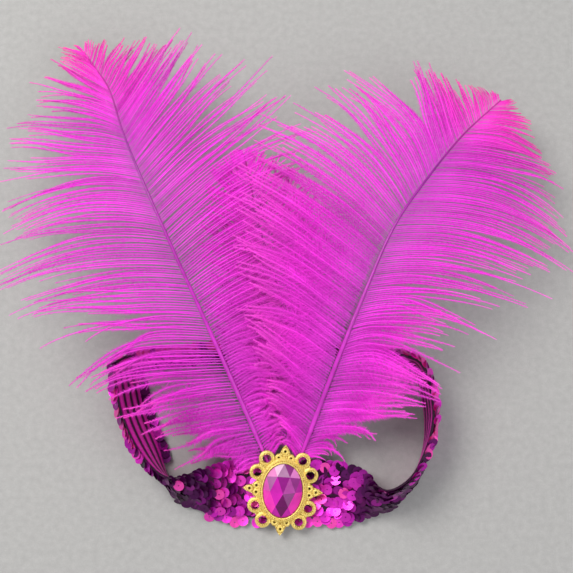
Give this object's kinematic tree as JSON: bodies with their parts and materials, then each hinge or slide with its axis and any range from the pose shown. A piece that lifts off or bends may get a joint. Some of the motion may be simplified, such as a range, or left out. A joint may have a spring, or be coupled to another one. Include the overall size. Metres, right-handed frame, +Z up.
{
  "type": "feathered headband",
  "caption": "Stretch headband lying flat: a sequin covered loop, an oval gem in a pierced gold setting at the front and tall feather plumes over its back.",
  "frame": {"origin": "middle of the footprint's bounding box, on the surface the headband lies on", "axes": "+Z up; +Y from the medallion at the front towards the plume tips; +X to the right of someone who looks along +Y"},
  "size_m": [0.3282, 0.2862, 0.0512],
  "materials": {
    "elastic": "ribbed satin stretch weave",
    "sequins": "metallic gloss sequins",
    "gold": "cast and gold plated",
    "gem": "faceted and polished, foil backed",
    "feather": "soft dyed feather"
  },
  "bodies": {
    "root": {"elastic_band": "elastic", "sequin_layer": "sequins", "medallion_setting": "gold", "gem": "gem", "plume_left": "feather", "plume_right": "feather", "plume_centre": "feather"}
  },
  "joints": []
}
